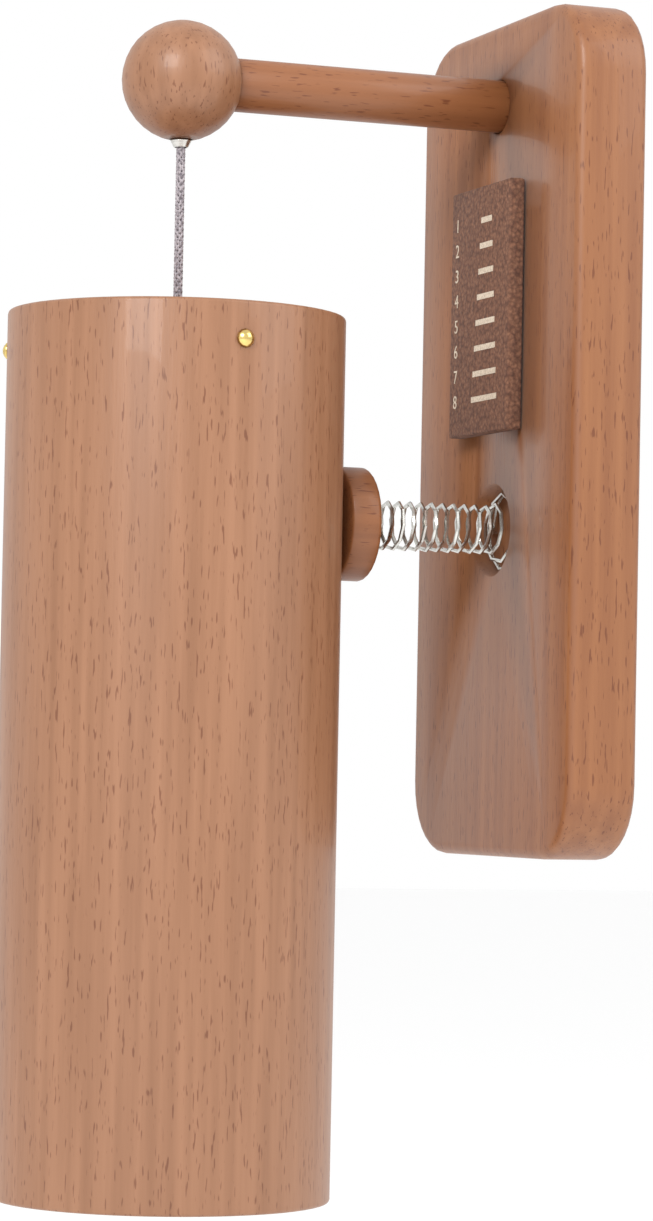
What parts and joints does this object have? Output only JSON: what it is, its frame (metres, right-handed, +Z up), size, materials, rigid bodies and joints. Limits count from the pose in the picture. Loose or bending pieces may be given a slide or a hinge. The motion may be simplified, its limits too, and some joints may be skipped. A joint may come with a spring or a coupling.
{
  "type": "wall door chime",
  "caption": "Wooden wall chime: a tube with tuned steel rods and a clapper hangs on a cord from an arm with a ball end, in front of a sprung bumper.",
  "frame": {"origin": "on the wall plane, at the middle of the centre adhesive pad and of the board's width and height", "axes": "+X to the right of someone facing the wall, +Y into the wall, +Z up"},
  "size_m": [0.075, 0.1113, 0.224],
  "materials": {
    "beech": "satin lacquer",
    "cork": "matte",
    "foam": "matte",
    "steel": "bright",
    "brass": "polished",
    "cord": "braided",
    "string": "twisted"
  },
  "bodies": {
    "base": {"backboard": "beech", "plaque": "cork", "wall_pad_1": "foam", "wall_pad_2": "foam", "wall_pad_3": "foam", "arm": "beech", "ball": "beech", "cord_ferrule": "steel", "cord_top_knot": "cord", "bumper_spring": "steel"},
    "bumper": {"bumper": "beech"},
    "cord_upper": {"cord_upper": "cord"},
    "cord_lower": {"cord_lower": "cord"},
    "lower_knot": {"cord_lower_knot": "cord"},
    "washer": {"cord_washer": "steel"},
    "tube": {"resonator_tube": "beech", "top_disc": "beech", "brass_pin_1": "brass", "brass_pin_2": "brass", "brass_pin_3": "brass", "rod_plate": "steel", "tone_rod_1": "steel", "tone_rod_2": "steel", "tone_rod_3": "steel", "tone_rod_4": "steel", "tone_rod_5": "steel", "tone_rod_6": "steel", "tone_rod_7": "steel", "tone_rod_8": "steel", "plate_screw_1": "steel", "plate_screw_2": "steel", "plate_screw_3": "steel"},
    "clapper_knot": {"clapper_top_knot": "string"},
    "clapper": {"clapper_string": "string", "clapper": "beech", "clapper_lower_knot": "string"}
  },
  "joints": [
    {"name": "bumper_press", "type": "slide", "parent": "base", "child": "bumper", "axis": [0, 1, 0], "range_m": [0, 0.01], "stiffness_N_per_m": 150, "deforming": ["bumper_spring"]},
    {"name": "cord_swing_side", "type": "hinge", "parent": "base", "child": "cord_upper", "pos_m": [0, -0.0798, 0.05145], "axis": [0, 1, 0], "range_deg": [-12, 12]},
    {"name": "cord_swing_front", "type": "hinge", "parent": "cord_upper", "child": "cord_lower", "pos_m": [0, -0.0798, 0.04595], "axis": [-1, 0, 0], "range_deg": [0, 30]},
    {"name": "tube_rock_front", "type": "hinge", "parent": "cord_lower", "child": "lower_knot", "pos_m": [0, -0.0798, 0.014], "axis": [-1, 0, 0], "range_deg": [0, 12]},
    {"name": "tube_rock_side", "type": "hinge", "parent": "lower_knot", "child": "washer", "pos_m": [0, -0.0798, 0.014], "axis": [0, 1, 0], "range_deg": [-10, 10]},
    {"name": "tube_twist", "type": "hinge", "parent": "washer", "child": "tube", "pos_m": [0, -0.0798, 0.014], "axis": [0, 0, 1], "range_deg": [-180, 180]},
    {"name": "clapper_turn", "type": "hinge", "parent": "tube", "child": "clapper_knot", "pos_m": [0, -0.0798, 0.0012], "axis": [0, 0, 1], "continuous": true},
    {"name": "clapper_swing", "type": "hinge", "parent": "clapper_knot", "child": "clapper", "pos_m": [0, -0.0798, 0.0012], "axis": [1, 0, 0], "range_deg": [0, 7.5]}
  ]
}
